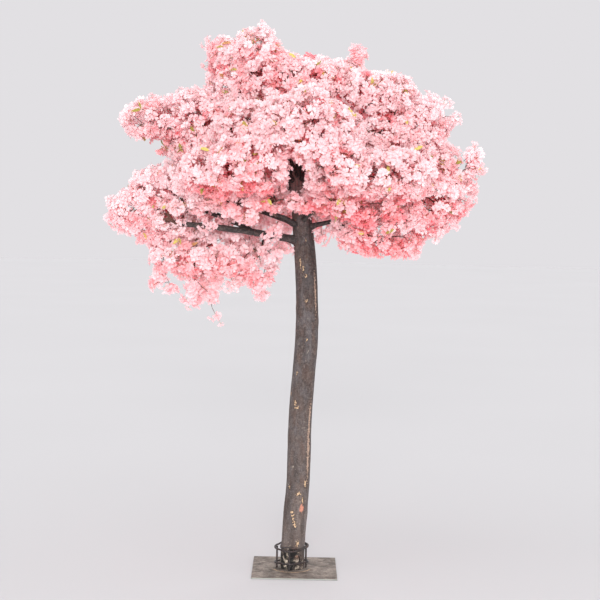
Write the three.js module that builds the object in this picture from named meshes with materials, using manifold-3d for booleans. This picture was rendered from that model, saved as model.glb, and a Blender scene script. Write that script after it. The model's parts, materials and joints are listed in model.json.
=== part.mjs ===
// Artificial cherry blossom tree, about 2.9 m tall. A wooden trunk stands in a cage of welded rod on a
// square steel plate. Boughs fan out from its upper half and carry masses of silk blossom.
// Millimetres, +Z up. The origin is the centre of the plate's underside, and -Y is the front.

import * as THREE from "three";
import { ImprovedNoise } from "three/addons/math/ImprovedNoise.js";
import { mergeVertices } from "three/addons/utils/BufferGeometryUtils.js";
import Module from "manifold-3d";

const wasm = await Module();
wasm.setup();

// Driving dimensions

const GAP = 0.35; // clearance between pieces that touch, so that their meshes never share volume
const WELD = 1e-4; // vertices nearer than this are one

const PLATE = { side: 450, thickness: 8 };

// The trunk sways as it rises and ends in a sawn top that the crown hides.
const TRUNK = {
  path: [
    [-12, 0, PLATE.thickness],
    [-10, 0, 170],
    [8, 5, 430],
    [18, 2, 850],
    [41, -6, 1250],
    [41, -4, 1480],
    [20, 2, 1760],
    [-26, 0, 2130],
  ],
  radii: [66, 65.5, 63.5, 62, 61, 59, 56, 43], // evenly spaced from the foot to the top
  sides: 14,
  steps: 14,
  unevenness: 0.02,
};

const ROD = { radius: 5, sides: 6, ringSteps: 28 };

// The cage is hand made, so its uprights stand at uneven angles and its rings are a little out of level.
const CAGE = {
  centre: [-17, 0],
  radius: 78,
  uprights: { left: 184, front: 262, right: 2, back: 86 },
  bend: 0.42, // radians to each side of an upright in which a ring swings out round it
  rings: {
    upper: { z: 124, radius: 77, lean: [4, 11] },
    lower: { z: 40, radius: 77, lean: [3, -6] },
  },
};

// Each bough runs from inside its parent limb to inside a mass of blossom, and tapers between two radii.
// Its parent is the trunk unless it names another bough.
const BOUGH = { sides: 6, steps: 5 };
const BOUGHS = {
  left_low: {
    radii: [22, 13],
    path: [[0, 0, 1766], [-151, -70, 1789], [-389, -150, 1824], [-760, -140, 1850]],
  },
  left_fork: {
    parent: "left_low",
    radii: [17, 11],
    path: [[-236, -100, 1798], [-330, -96, 1850], [-470, -60, 1900], [-700, -30, 1980]],
  },
  left_hanging_inner: {
    parent: "left_low",
    radii: [8, 6],
    path: [[-190, -95, 1796], [-196, -30, 1796], [-200, 20, 1780], [-205, 90, 1700]],
  },
  left_hanging_outer: {
    parent: "left_low",
    radii: [8, 6],
    path: [[-520, -150, 1836], [-530, -100, 1836], [-545, -40, 1810], [-565, 50, 1720]],
  },
  left_mid: {
    radii: [14, 8],
    path: [[-4, 0, 1842], [-140, -24, 1892], [-400, -10, 1970], [-760, 40, 2050]],
  },
  upper_left: {
    radii: [17, 9],
    path: [[-24, 0, 2030], [-190, 10, 2130], [-400, 20, 2270], [-600, 20, 2400]],
  },
  top_left: {
    radii: [20, 11],
    path: [[-28, -4, 2060], [-70, -20, 2200], [-118, -20, 2420], [-200, 0, 2680]],
  },
  top_right: {
    radii: [18, 10],
    path: [[-22, 6, 2070], [24, 16, 2190], [84, 30, 2350], [150, 30, 2560]],
  },
  upper_right: {
    radii: [17, 9],
    path: [[-16, -2, 2010], [150, -20, 2110], [345, 0, 2230], [540, 30, 2440]],
  },
  right_mid: {
    radii: [16, 9],
    path: [[-8, 0, 1950], [176, -20, 2016], [420, -20, 2030], [740, -20, 2000]],
  },
  right_low: {
    radii: [15, 8],
    path: [[4, 0, 1822], [112, -36, 1858], [200, -80, 1872], [420, -120, 1830]],
  },
  front_left: {
    radii: [15, 8],
    path: [[-24, 0, 2040], [-90, -80, 2145], [-165, -250, 2185], [-240, -440, 2150]],
  },
  front_right: {
    radii: [14, 8],
    path: [[-20, 0, 2050], [30, -90, 2145], [80, -270, 2190], [160, -470, 2160]],
  },
  front_top: {
    radii: [15, 8],
    path: [[-22, -4, 2085], [-14, -120, 2190], [-10, -280, 2295], [0, -440, 2370]],
  },
  low_left: {
    radii: [12, 8],
    path: [[0, 0, 1830], [-70, -110, 1880], [-140, -200, 1900], [-300, -290, 1920]],
  },
  low_right: {
    radii: [12, 8],
    path: [[-2, 0, 1860], [40, -120, 1900], [80, -220, 1920], [160, -300, 1940]],
  },
  back_left: {
    radii: [16, 8],
    path: [[-14, 0, 1960], [-110, 130, 2020], [-230, 260, 2070], [-420, 370, 2080]],
  },
  back_right: {
    radii: [16, 8],
    path: [[-6, 0, 1900], [100, 130, 2000], [230, 260, 2090], [400, 370, 2110]],
  },
  back_top: {
    radii: [15, 8],
    path: [[-24, 4, 2040], [-24, 120, 2190], [-20, 230, 2340], [0, 380, 2460]],
  },
  back_low: {
    radii: [14, 8],
    path: [[2, 0, 1840], [20, 160, 1900], [40, 320, 1940], [60, 560, 1960]],
  },
};

// Each mass is a string of lumps, as x, y, z and radius, from the end nearest the trunk outwards. deep
// stretches the lumps from front to back, and a drop is a tassel that hangs from one lump, or stands up
// from it if its reach is negative. A mass is cut back by every mass listed before it.
const MASS = { detail: 1, unevenness: 0.2, flatness: 0.94, facet: 9, tidy: 0.1 };
const MASSES = {
  top_left: {
    deep: 1.7,
    lumps: [[-110, 60, 2650, 130], [-250, -50, 2752, 134], [-395, 30, 2708, 116]],
  },
  top_right: {
    deep: 1.8,
    lumps: [[60, -40, 2590, 134], [225, 60, 2594, 132]],
    drops: [{ lump: 1, at: [52, 0], reach: -215, radius: 42 }],
  },
  upper_left: {
    deep: 1.6,
    lumps: [[-390, 90, 2490, 138], [-545, -20, 2422, 142], [-705, 60, 2395, 130], [-848, -20, 2390, 108]],
    drops: [
      { lump: 1, at: [-60, 0], reach: 250, radius: 90 },
      { lump: 2, at: [-25, 0], reach: 195, radius: 74 },
    ],
  },
  upper_right: {
    deep: 1.6,
    lumps: [[385, 60, 2400, 140], [480, -20, 2530, 128], [610, 50, 2415, 148], [706, -30, 2432, 100]],
    drops: [{ lump: 2, at: [55, 0], reach: 270, radius: 110 }],
  },
  left: {
    deep: 1.6,
    lumps: [[-700, -110, 1868, 86], [-690, 50, 1950, 136], [-785, -40, 2030, 120], [-918, 40, 1925, 114]],
    drops: [{ lump: 3, at: [34, 0], reach: 170, radius: 92 }],
  },
  right: {
    deep: 1.6,
    lumps: [[705, -40, 1985, 144], [835, 50, 2038, 102], [862, -10, 2196, 84]],
    drops: [{ lump: 0, at: [-34, -20], reach: 225, radius: 92 }],
  },
  lower_left: {
    deep: 1.3,
    lumps: [[-205, 110, 1658, 104], [-385, 60, 1682, 126], [-565, 90, 1680, 134], [-706, 10, 1680, 100]],
    drops: [
      { lump: 0, at: [8, 0], reach: 222, radius: 62 },
      { lump: 1, at: [-10, 0], reach: 176, radius: 92 },
      { lump: 1, at: [80, 70], reach: -210, radius: 84 },
      { lump: 2, at: [0, 0], reach: 274, radius: 68 },
      { lump: 2, at: [76, 0], reach: 266, radius: 64 },
      { lump: 3, at: [-6, 0], reach: 214, radius: 64 },
    ],
  },
  lower_right: {
    deep: 1.5,
    lumps: [[245, -120, 1840, 102], [395, -120, 1808, 112], [550, -80, 1806, 106]],
    drops: [{ lump: 0, at: [-122, 20], reach: 128, radius: 50 }],
  },
  front_left: {
    deep: 1.5,
    lumps: [[-150, -500, 2125, 122], [-320, -560, 2140, 140], [-490, -400, 2110, 128]],
  },
  front_right: {
    deep: 1.5,
    lumps: [[80, -500, 2180, 112], [220, -570, 2140, 122], [375, -480, 2110, 118], [530, -360, 2110, 124]],
  },
  front_top: {
    deep: 1.5,
    lumps: [[180, -470, 2310, 130], [20, -540, 2390, 142], [-150, -440, 2350, 130], [-320, -360, 2340, 124]],
    drops: [{ lump: 1, at: [-50, 30], reach: 240, radius: 76 }],
  },
  low_left: {
    deep: 1.4,
    lumps: [[-168, -130, 2030, 90], [-175, -280, 1940, 96], [-330, -290, 1945, 110], [-495, -240, 1965, 98]],
  },
  low_right: {
    deep: 1.4,
    lumps: [[128, -140, 2035, 88], [50, -270, 1950, 76], [228, -300, 1950, 102], [385, -270, 1950, 100]],
  },
  back_left: {
    deep: 1.1,
    lumps: [[-250, 400, 2130, 164], [-430, 460, 2090, 172], [-610, 340, 2150, 150]],
  },
  back_right: {
    deep: 1.1,
    lumps: [[260, 400, 2190, 164], [430, 460, 2110, 172], [610, 340, 2180, 150]],
  },
  back_top: {
    deep: 1.2,
    lumps: [[-210, 360, 2450, 160], [0, 420, 2500, 168], [220, 340, 2450, 160]],
  },
  back_low: {
    deep: 1.2,
    lumps: [[-140, 600, 1915, 136], [60, 650, 1970, 146], [240, 590, 1940, 136]],
  },
};

// Materials

const material = (color, roughness, metalness = 0) =>
  new THREE.MeshStandardMaterial({ color, roughness, metalness });
const plateSteel = material(0x8f8479, 0.62, 0.6);
const rodSteel = material(0x3c3836, 0.55, 0.7);
const bark = material(0x6c605c, 0.9);
const boughBark = material(0x3f3532, 0.9);
const blossom = material(0xf2bcc2, 0.8);

// Solids and meshes

const noise = new ImprovedNoise();

function solidOf(geometry) {
  const bare = geometry.clone();
  bare.deleteAttribute("normal");
  bare.deleteAttribute("uv");
  const merged = mergeVertices(bare, WELD);
  return new wasm.Manifold(
    new wasm.Mesh({
      numProp: 3,
      vertProperties: new Float32Array(merged.attributes.position.array),
      triVerts: new Uint32Array(merged.index.array),
    }),
  );
}

function meshOf(name, solid, finish) {
  const mesh = new THREE.Mesh(geometryOf(solid), finish);
  mesh.name = name;
  return mesh;
}

function geometryOf(solid) {
  const made = solid.getMesh();
  const geometry = new THREE.BufferGeometry();
  geometry.setAttribute("position", new THREE.BufferAttribute(made.vertProperties, 3));
  geometry.setIndex(new THREE.BufferAttribute(made.triVerts, 1));
  geometry.computeVertexNormals();
  return geometry;
}

// A copy of a solid that is larger all over by the clearance, to cut room for it in its neighbours.
function swell(solid) {
  const geometry = geometryOf(solid);
  const { position, normal } = geometry.attributes;
  for (let i = 0; i < position.array.length; i++) position.array[i] += GAP * normal.array[i];
  return solidOf(geometry);
}

// Moves every vertex of a geometry by a function that is given it and may change it.
function reshape(geometry, move) {
  const position = geometry.attributes.position;
  const vertex = new THREE.Vector3();
  for (let i = 0; i < position.count; i++) {
    vertex.fromBufferAttribute(position, i);
    move(vertex);
    position.setXYZ(i, vertex.x, vertex.y, vertex.z);
  }
  return geometry;
}

// A value between evenly spaced ones.
function between(values, t) {
  const place = Math.min(Math.max(t, 0), 1) * (values.length - 1);
  const low = Math.min(Math.floor(place), values.length - 2);
  return THREE.MathUtils.lerp(values[low], values[low + 1], place - low);
}

// The piece of a cut solid that lies nearest to a point.
function pieceNear(solid, point) {
  const gapTo = (piece) => {
    const { min, max } = piece.boundingBox();
    const box = new THREE.Box3(new THREE.Vector3(...min), new THREE.Vector3(...max));
    return box.distanceToPoint(new THREE.Vector3(...point));
  };
  return solid.decompose().sort((a, b) => gapTo(a) - gapTo(b))[0];
}

const largest = (solid) => solid.decompose().sort((a, b) => b.volume() - a.volume())[0];

// Limbs: a cylinder bent along a curve. One that starts off steeply has a level cut at its foot.

const STEEP = 0.9;

function limb({ path, radii, sides, steps, unevenness = 0 }) {
  const curve = new THREE.CatmullRomCurve3(path.map((point) => new THREE.Vector3(...point)));
  const stands = Math.abs(curve.getTangentAt(0).z) > STEEP;
  const reference = new THREE.Vector3(0, Number(stands), Number(!stands));
  const cylinder = new THREE.CylinderGeometry(1, 1, 1, sides, steps);
  return solidOf(
    reshape(cylinder, (vertex) => {
      const t = THREE.MathUtils.clamp(vertex.y + 0.5, 0, 1);
      const angle = Math.atan2(vertex.z, vertex.x);
      const ripple = 1 + unevenness * noise.noise(2 * Math.cos(angle), 2 * Math.sin(angle), 9 * t);
      const reach = Math.hypot(vertex.x, vertex.z) * between(radii, t) * ripple;
      const ahead = stands && t === 0 ? new THREE.Vector3(0, 0, 1) : curve.getTangentAt(t);
      const side = new THREE.Vector3().crossVectors(reference, ahead).normalize();
      const over = new THREE.Vector3().crossVectors(ahead, side);
      vertex
        .copy(curve.getPointAt(t))
        .addScaledVector(side, reach * Math.cos(angle))
        .addScaledVector(over, -reach * Math.sin(angle));
    }),
  );
}

// The plate and the rod cage

function plate() {
  const { side, thickness } = PLATE;
  return solidOf(new THREE.BoxGeometry(side, side, thickness).translate(0, 0, thickness / 2));
}

const ringHeight = ({ z, lean }, angle) => z + lean[0] * Math.cos(angle) + lean[1] * Math.sin(angle);

// An upright reaches as high as the top of the upper ring beside it.
function upright(degrees) {
  const angle = THREE.MathUtils.degToRad(degrees);
  const [x, y] = CAGE.centre;
  const length = ringHeight(CAGE.rings.upper, angle) + ROD.radius - PLATE.thickness;
  const rod = new THREE.CylinderGeometry(ROD.radius, ROD.radius, length, ROD.sides).rotateX(Math.PI / 2);
  return solidOf(
    rod.translate(
      x + CAGE.radius * Math.cos(angle),
      y + CAGE.radius * Math.sin(angle),
      PLATE.thickness + length / 2,
    ),
  );
}

// A ring of rod that hugs the trunk and bulges round the outside of each upright.
function ring(shape) {
  const outside = CAGE.radius + 2 * (ROD.radius + GAP);
  const corners = Object.values(CAGE.uprights).map(THREE.MathUtils.degToRad);
  const torus = new THREE.TorusGeometry(shape.radius, ROD.radius, ROD.sides, ROD.ringSteps);
  return solidOf(
    reshape(torus, (vertex) => {
      const angle = Math.atan2(vertex.y, vertex.x);
      const turns = corners.map((corner) => Math.acos(Math.min(1, Math.cos(angle - corner))));
      const bulge = (outside - shape.radius) * Math.exp(-((Math.min(...turns) / CAGE.bend) ** 4));
      vertex.x += bulge * Math.cos(angle) + CAGE.centre[0];
      vertex.y += bulge * Math.sin(angle) + CAGE.centre[1];
      vertex.z += ringHeight(shape, angle);
    }),
  );
}

// Masses of blossom

// An uneven ball
function lump([x, y, z, radius], { deep = 1, high = 1 }, seed) {
  const ball = new THREE.IcosahedronGeometry(1, MASS.detail);
  return solidOf(
    reshape(ball, (vertex) => {
      const rough = 1 + MASS.unevenness * noise.noise(2 * vertex.x + seed, 2 * vertex.y, 2 * vertex.z);
      vertex.multiplyScalar(radius * rough);
      vertex.set(x + vertex.x, y + deep * vertex.y, z + high * vertex.z);
    }),
  );
}

function mass({ deep, lumps, drops = [] }, seed) {
  const string = lumps.map((shape, i) => lump(shape, { deep, high: MASS.flatness }, 10 * seed + i));
  const tassels = drops.map(({ lump: from, at, reach, radius }, i) => {
    const [x, y, z] = lumps[from];
    const middle = [x + at[0], y + at[1], z - reach / 2, radius];
    return lump(middle, { high: Math.abs(reach) / 2 / radius }, 100 * seed + i);
  });
  return wasm.Manifold.union([...string, ...tassels]).asOriginal().simplify(MASS.facet);
}

// Assembly

const tree = new THREE.Group();
const add = (name, solid, finish) => tree.add(meshOf(name, solid, finish));

const trunk = limb(TRUNK);
add("base_plate", plate(), plateSteel);
for (const [side, degrees] of Object.entries(CAGE.uprights)) {
  add(`cage_upright_${side}`, upright(degrees), rodSteel);
}
for (const [level, shape] of Object.entries(CAGE.rings)) {
  add(`cage_ring_${level}`, ring(shape), rodSteel);
}
add("trunk", trunk, bark);

const masses = Object.entries(MASSES).map(([name, shape], i) => ({ name, whole: mass(shape, i + 1) }));
const roomForMasses = masses.map(({ whole }) => swell(whole));
const cutBy = (solid, rooms) => rooms.reduce((left, room) => left.subtract(room), solid);

// A bough starts flush with its parent and ends where it enters the first mass on its way.
const roomForLimbs = { trunk: swell(trunk) };
for (const [name, shape] of Object.entries(BOUGHS)) {
  const whole = limb({ ...BOUGH, ...shape });
  const stripped = cutBy(whole, [roomForLimbs[shape.parent ?? "trunk"], ...roomForMasses]);
  add(`bough_${name}`, pieceNear(stripped, shape.path[0]), boughBark);
  roomForLimbs[name] = swell(whole);
}

masses.forEach(({ name, whole }, i) => {
  const cut = cutBy(whole, [roomForLimbs.trunk, ...roomForMasses.slice(0, i)]);
  add(`crown_${name}`, largest(cut).asOriginal().simplify(MASS.tidy), blossom);
});

export default tree;
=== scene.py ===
"""An artificial cherry blossom tree on a steel plate.

The CAD model gives the place and size of every limb and of every mass of blossom. This script gives the
limbs their bark, grows branches and twigs through the masses from the tips of the boughs, sets sprays of
silk blossom and a few leaves on the twigs, and finishes the plate and the rod cage.
Metres, +Z up, and -Y is the front.
"""

import json
import math

import bpy
import numpy as np
from mathutils import Matrix, Vector, noise
from mathutils.bvhtree import BVHTree

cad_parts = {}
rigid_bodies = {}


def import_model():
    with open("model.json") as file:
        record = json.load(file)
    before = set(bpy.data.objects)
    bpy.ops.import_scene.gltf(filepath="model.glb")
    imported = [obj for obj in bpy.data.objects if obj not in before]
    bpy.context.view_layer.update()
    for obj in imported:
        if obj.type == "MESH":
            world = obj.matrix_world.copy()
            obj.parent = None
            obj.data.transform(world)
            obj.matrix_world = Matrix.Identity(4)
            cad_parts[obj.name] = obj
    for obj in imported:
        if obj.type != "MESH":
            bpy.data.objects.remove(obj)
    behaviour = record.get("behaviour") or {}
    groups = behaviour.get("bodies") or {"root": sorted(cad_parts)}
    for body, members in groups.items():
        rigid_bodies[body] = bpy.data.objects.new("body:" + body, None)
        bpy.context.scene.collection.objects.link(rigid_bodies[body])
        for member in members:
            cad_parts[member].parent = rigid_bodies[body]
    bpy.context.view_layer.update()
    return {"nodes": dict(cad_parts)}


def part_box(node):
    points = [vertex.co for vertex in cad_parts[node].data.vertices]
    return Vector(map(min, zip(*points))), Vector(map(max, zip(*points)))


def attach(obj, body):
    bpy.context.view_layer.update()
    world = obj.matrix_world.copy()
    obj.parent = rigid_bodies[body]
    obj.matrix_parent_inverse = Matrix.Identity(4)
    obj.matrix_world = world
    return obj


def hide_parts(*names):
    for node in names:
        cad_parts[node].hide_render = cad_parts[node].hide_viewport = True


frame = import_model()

NODES = sorted(frame["nodes"])
BODY = "root"
TURN = 2 * math.pi

# Scene

CAMERA = {"place": (0.003, -7.0, 1.843), "pitch": 3.22, "roll": 1.09, "lens": 79.04, "sensor": 36.0}
BACKDROP = (226, 224, 227)
BOUNCES = 10
FLOOR = {"radius": 60.0, "sides": 96, "albedo": (0.536, 0.532, 0.54), "darker": 0.985, "mottle": 3.0}
SUNS = {
    "key": {"power": 0.9, "spread": 80, "towards": (0.4, 0.75, -0.75)},
    "front": {"power": 2.85, "spread": 24, "towards": (0.02, 1.0, -0.14)},
    "side": {"power": 1.0, "spread": 90, "towards": (-0.9, 0.3, -0.3)},
    "back": {"power": 1.8, "spread": 70, "towards": (-0.1, -0.9, -0.4)},
}
FILL = {"power": 48.0, "size": 4.0, "place": (0.0, -1.0, 0.12)}

# Wood

TRUNK_STEP = 0.0075
TRUNK_RUN = {"count": 24, "margin": 0.012}
BOUGH_STEP = 0.009
BOUGH_SIDES = 14
BOUGH_RUN = {"count": 14, "margin": 0.06}
END_SECTIONS = 4
CURVE_PARTS = 12
LAYER_SHIFT = 7.3
STEEP = 0.9

# Crown: its cells, the depth at which sprays sit, and the places that are filled or kept open

CELL = 0.015
SHELL = (0.024, 0.085)
UNDER = 0.15
CROWDED = {"share": 0.8, "ahead": 0.04, "reach": 6}
EAGER = {"shell": 1.5, "near": 0.06}
CLEAR_OF_HIT = 1e-5
CLOSED = 3
BLURS = 4
HEARTS = [
    {"middle": (0.547, 0.483, 0.4375), "reach": (0.75, 0.8, 0.6), "closed": 6},
    {"middle": (0.547, 0.45, 0.64), "reach": (0.68, 0.8, 0.38), "closed": 10},
]
TRUNK_TOP = {"beside": 0.066, "low": -0.135, "high": 0.05}
TRUNK_NECK = {"beside": 0.2, "high": -0.205}
BARE = {"bough": "bough_left_fork", "from": 0.1, "to": 0.75}
BARE_FRONT = {"beside": 0.02, "high": 0.03}
SPACING = {"shell": 0.058, "under": 0.067, "core": 0.12}

# Twigs

DROOP = -0.2
SCATTER = 0.4
LONG_WAY = 0.25
TURNING = 0.55
SHOOT = {"step": 0.04, "leave": 0.35, "arrive": 0.3, "shake": 0.0035}
TWIG = {"radius": 0.0015, "power": 0.46, "fade": 0.15, "ends": (0.8, 0.5), "step": 0.03, "sides": 3}
THICK_TWIG = {"radius": 0.0035, "step": 0.014, "sides": 6}

# Sprays of blossom

SEED = 41
SPRAY = {"length": 0.085, "least": 0.02, "clear": 0.01, "stalk": (0.012, 0.05)}
FLOWERS = {"shell": 14, "core": 8}
LARGER = {"shell": 1, "core": 1.3}
SPRAY_TURN = {"twist": 0.5, "lean": (-0.4, 1.1), "out": 0.35, "tip": 0.2, "face_out": 0.3, "face": 0.45}
OUTSET = 0.004
HANG = 0.014
FREE = {"share": 0.12, "reach": 0.024}
GOLDEN = math.pi * (3 - math.sqrt(5))


# Small helpers


def tone(red, green, blue):
    """A colour given as it looks on a screen, as the linear colour that shaders take."""
    parts = [c / 255 for c in (red, green, blue)]
    return [c / 12.92 if c < 0.04045 else ((c + 0.055) / 1.055) ** 2.4 for c in parts] + [1.0]


def unit(vectors):
    """Vectors, one or many, at length 1."""
    vectors = np.asarray(vectors, float)
    return vectors / np.maximum(np.linalg.norm(vectors, axis=-1, keepdims=True), 1e-12)


def triangles_of(quads):
    """Two triangles for each face of four corners."""
    quads = np.asarray(quads)
    return np.concatenate([quads[:, [0, 1, 2]], quads[:, [0, 2, 3]]])


def piece(name, shape, finishes, nodes=(), finish_of_face=None):
    """A smooth shaded mesh, from points and triangles, that rides on the tree and stands for CAD nodes."""
    points, triangles = shape
    triangles = np.asarray(triangles, np.int32)
    mesh = bpy.data.meshes.new(name)
    mesh.vertices.add(len(points))
    mesh.vertices.foreach_set("co", np.asarray(points, np.float32).ravel())
    mesh.loops.add(triangles.size)
    mesh.loops.foreach_set("vertex_index", triangles.ravel())
    mesh.polygons.add(len(triangles))
    mesh.polygons.foreach_set("loop_start", np.arange(0, triangles.size, 3, dtype=np.int32))
    for finish in finishes:
        mesh.materials.append(finish)
    if finish_of_face is not None:
        mesh.polygons.foreach_set("material_index", np.asarray(finish_of_face, np.int32))
    mesh.polygons.foreach_set("use_smooth", np.ones(len(triangles), bool))
    mesh.update(calc_edges=True)
    made = bpy.data.objects.new(name, mesh)
    bpy.context.scene.collection.objects.link(made)
    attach(made, BODY)
    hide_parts(*nodes)
    return made


def way_along(path):
    """How far along a path each of its points lies."""
    return np.concatenate([[0], np.cumsum(np.linalg.norm(np.diff(path, axis=0), axis=1))])


def joined(parts):
    """Points and triangles of several shapes as one pair of arrays."""
    starts = np.cumsum([0] + [len(points) for points, _ in parts])
    points = np.concatenate([points for points, _ in parts])
    return points, np.concatenate([faces + start for (_, faces), start in zip(parts, starts)])


# Shader helpers


def put(tree, socket, value):
    """Links a socket to another node's output, or sets it to a value."""
    if isinstance(value, bpy.types.NodeSocket):
        tree.links.new(value, socket)
    else:
        socket.default_value = value


def add_node(tree, kind, inputs=None, **fields):
    """A shader node with its fields set and its inputs set or linked."""
    made = tree.nodes.new(kind)
    for field, value in fields.items():
        setattr(made, field, value)
    for key, value in (inputs or {}).items():
        put(tree, made.inputs[key], value)
    return made


def new_material(name):
    """A material with an empty node tree, and that tree."""
    material = bpy.data.materials.new(name)
    material.use_nodes = True
    material.node_tree.nodes.clear()
    return material, material.node_tree


def show(tree, shader):
    """Makes a shader the surface of its material."""
    add_node(tree, "ShaderNodeOutputMaterial", {"Surface": shader.outputs[0]})


def solid(name, look):
    """A material whose shader's inputs are given by a function of its tree and of the place on a mesh."""
    material, tree = new_material(name)
    show(tree, add_node(tree, "ShaderNodeBsdfPrincipled", look(tree, object_place(tree))))
    return material


def object_place(tree):
    """Where on its mesh a point lies."""
    return add_node(tree, "ShaderNodeTexCoord").outputs["Object"]


def grain(tree, place, size, detail=3.0, roughness=0.55, warp=0.0):
    """Noise from 0 to 1 whose marks are about size metres across, the same way round or along x, y and z."""
    stretch = 1 / (np.ones(3) * size)
    mapped = add_node(tree, "ShaderNodeMapping", {"Vector": place, "Scale": stretch})
    inputs = {"Vector": mapped.outputs[0], "Scale": 1.0, "Detail": detail}
    inputs.update({"Roughness": roughness, "Distortion": warp})
    return add_node(tree, "ShaderNodeTexNoise", inputs).outputs["Fac"]


def ramp(tree, value, *stops):
    """A colour for a value, from stops of a place and a colour as it looks on a screen."""
    made = add_node(tree, "ShaderNodeValToRGB", {"Fac": value})
    elements = made.color_ramp.elements
    while len(elements) < len(stops):
        elements.new(0.5)
    for element, (place, colour) in zip(elements, stops):
        element.position = place
        element.color = tone(*colour)
    return made.outputs["Color"]


def level(tree, value, low, high, bottom=0.0, top=1.0):
    """A value's place between low and high, as a number from bottom to top."""
    inputs = {"Value": value, "From Min": low, "From Max": high, "To Min": bottom, "To Max": top}
    return add_node(tree, "ShaderNodeMapRange", inputs).outputs["Result"]


def mixed(tree, amount, first, second):
    """Two colours mixed."""
    made = add_node(tree, "ShaderNodeMix", data_type="RGBA")
    for socket, value in zip((0, 6, 7), (amount, first, second)):
        put(tree, made.inputs[socket], value)
    return made.outputs[2]


def layered(tree, colour, *layers):
    """A colour under patches: each a pattern, where it sets in and is full, how strong, and a colour."""
    for pattern, low, high, amount, patch in layers:
        colour = mixed(tree, level(tree, pattern, low, high, 0, amount), colour, tone(*patch))
    return colour


def added(tree, first, second):
    """The sum of two numbers, kept between 0 and 1."""
    made = add_node(tree, "ShaderNodeMath", {0: first, 1: second}, operation="ADD", use_clamp=True)
    return made.outputs[0]


def painted(tree, name, ragged=0.0):
    """What a mesh holds under a name for each of its points, with a ragged edge."""
    held = add_node(tree, "ShaderNodeAttribute", attribute_name=name).outputs["Fac"]
    return added(tree, held, ragged)


def bump(tree, height, distance, strength=1.0):
    """A bump of height 0 to 1 over a distance in metres."""
    inputs = {"Height": height, "Distance": distance, "Strength": strength}
    return add_node(tree, "ShaderNodeBump", inputs).outputs["Normal"]


# Materials


def trunk_bark(tree, place):
    """Grey brown paint over rough bark, paler at the foot and darker going up, chipped to bare wood, stained
    in the cage, with painted shade where the bark's relief sinks in and painted light on the leader at the
    top.
    """
    rough = grain(tree, place, (0.012, 0.012, 0.018), detail=6, roughness=0.75, warp=0.8)
    fibres = grain(tree, place, (0.012, 0.012, 0.09), detail=4, warp=0.4)
    blotches = grain(tree, place, (0.04, 0.04, 0.09))
    bands = grain(tree, place, (0.025, 0.025, 0.005), warp=1.2)
    specks = grain(tree, place, (0.005, 0.005, 0.008), detail=2)
    smears = grain(tree, place, (0.028, 0.028, 0.04), detail=5, roughness=0.75, warp=0.5)
    edge = level(tree, rough, 0.35, 0.65, -0.5, 0.5)
    fine = level(tree, specks, 0.35, 0.65, -0.5, 0.5)
    above = add_node(tree, "ShaderNodeSeparateXYZ", {"Vector": place}).outputs["Z"]
    height = level(tree, above, 0.1, 2.0)
    # Darker going up the trunk; the pale last stop, from about 1.85 m and full above 2 m, is painted light
    # on the leader, standing in for light that the crown keeps off it
    foot, low, mid, high, top = (110, 97, 91), (80, 71, 69), (66, 57, 56), (58, 48, 48), (168, 128, 126)
    height_tone_painted_light = ramp(tree, height, (0.0, foot), (0.3, low), (0.6, mid), (0.92, high), (1.0, top))
    chipped = layered(
        tree,
        height_tone_painted_light,
        (fibres, 0.4, 0.65, 0.5, (62, 53, 51)),
        (rough, 0.45, 0.65, 0.6, (136, 124, 118)),
        (bands, 0.54, 0.64, 0.6, (52, 44, 43)),
        (blotches, 0.5, 0.65, 0.4, (98, 76, 66)),
        (blotches, 0.48, 0.36, 0.35, (104, 102, 105)),
        # painted shade: darker where the bark's relief sinks in
        (painted(tree, "hollow_shade"), 0.0, 1.0, 0.7, (44, 36, 35)),
        (specks, 0.62, 0.72, 0.35, (160, 150, 145)),
        (painted(tree, "stripe"), 0.05, 0.25, 0.7, (48, 38, 36)),
        (painted(tree, "stripe", fine), 0.5, 0.8, 0.75, (182, 154, 136)),
        (painted(tree, "cream"), 0.05, 0.3, 0.6, (50, 40, 36)),
        (painted(tree, "cream", fine), 0.5, 0.75, 0.9, (192, 162, 130)),
        (painted(tree, "orange", edge), 0.5, 0.7, 0.9, (184, 124, 104)),
    )
    black, grey, brown, dust = (14, 14, 15), (44, 46, 45), (104, 90, 76), (200, 188, 172)
    grime = ramp(tree, smears, (0.45, black), (0.51, grey), (0.56, brown), (0.61, dust))
    stain = level(tree, painted(tree, "stain", edge), 0.3, 0.7, 0, 0.92)
    relief = added(tree, level(tree, rough, 0.3, 0.7, 0, 0.7), level(tree, bands, 0.4, 0.7, 0.3, 0))
    return {
        "Base Color": mixed(tree, stain, chipped, grime),
        "Roughness": level(tree, fibres, 0.3, 0.8, 0.72, 0.95),
        "Normal": bump(tree, relief, 0.0035),
        "Specular IOR Level": 0.3,
    }


def bough_bark(tree, place):
    """Dark natural bark with fine cracks and pale lenticels."""
    cracks = grain(tree, place, 0.01, detail=5, warp=0.6)
    blotches = grain(tree, place, 0.05, detail=2)
    specks = grain(tree, place, 0.004, detail=1)
    brown = ramp(tree, cracks, (0.35, (30, 25, 26)), (0.5, (52, 44, 44)), (0.65, (84, 74, 72)))
    flecked = layered(
        tree,
        brown,
        (blotches, 0.5, 0.7, 0.4, (54, 50, 45)),
        (specks, 0.62, 0.72, 0.5, (116, 102, 96)),
    )
    return {
        "Base Color": flecked,
        "Roughness": level(tree, cracks, 0.3, 0.8, 0.7, 0.95),
        "Normal": bump(tree, cracks, 0.0012),
        "Specular IOR Level": 0.3,
    }


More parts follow.
